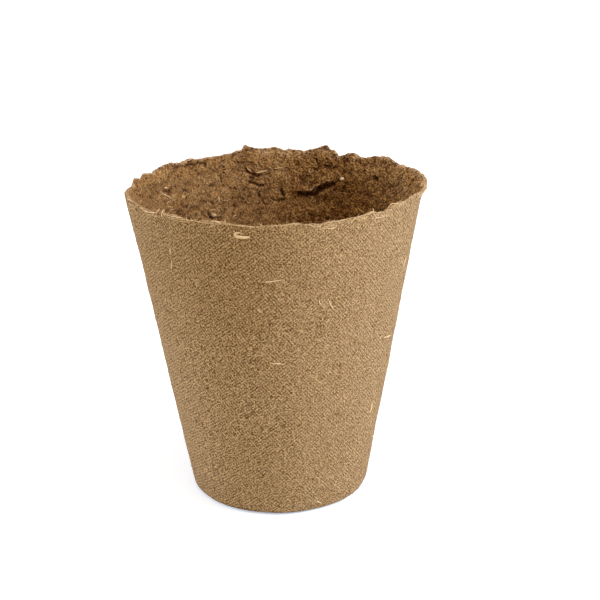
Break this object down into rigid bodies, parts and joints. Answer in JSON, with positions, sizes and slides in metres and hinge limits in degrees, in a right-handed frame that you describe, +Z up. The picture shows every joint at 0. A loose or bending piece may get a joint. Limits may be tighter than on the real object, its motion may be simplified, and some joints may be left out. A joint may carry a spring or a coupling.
{
  "type": "peat pot",
  "caption": "Round tapered plant pot of pressed peat and wood fibre, with a torn rim, a rounded heel and a drain hole, for raising a seedling and planting out whole.",
  "frame": {"origin": "middle of the standing face, on the pot's axis", "axes": "+Z up along the pot's axis, -Y towards the side with the curled shaving under the rim, +X to the right seen from that side"},
  "size_m": [0.08, 0.0802, 0.0887],
  "materials": {
    "peat_felt": "matt pressed felt, woven screen mark outside, lumpy inside",
    "pale_wood": "raw split wood",
    "raw_fibre": "raw loose fibre",
    "bark": "dark raw bark"
  },
  "bodies": {
    "root": {"side_wall": "peat_felt", "base": "peat_felt", "rim_deckle": "peat_felt", "folded_flap": "peat_felt", "curled_shaving": "pale_wood", "wood_chip": "pale_wood", "outer_slivers": "pale_wood", "inner_slivers": "pale_wood", "rim_fibres": "raw_fibre", "bark_flecks": "bark"}
  },
  "joints": []
}
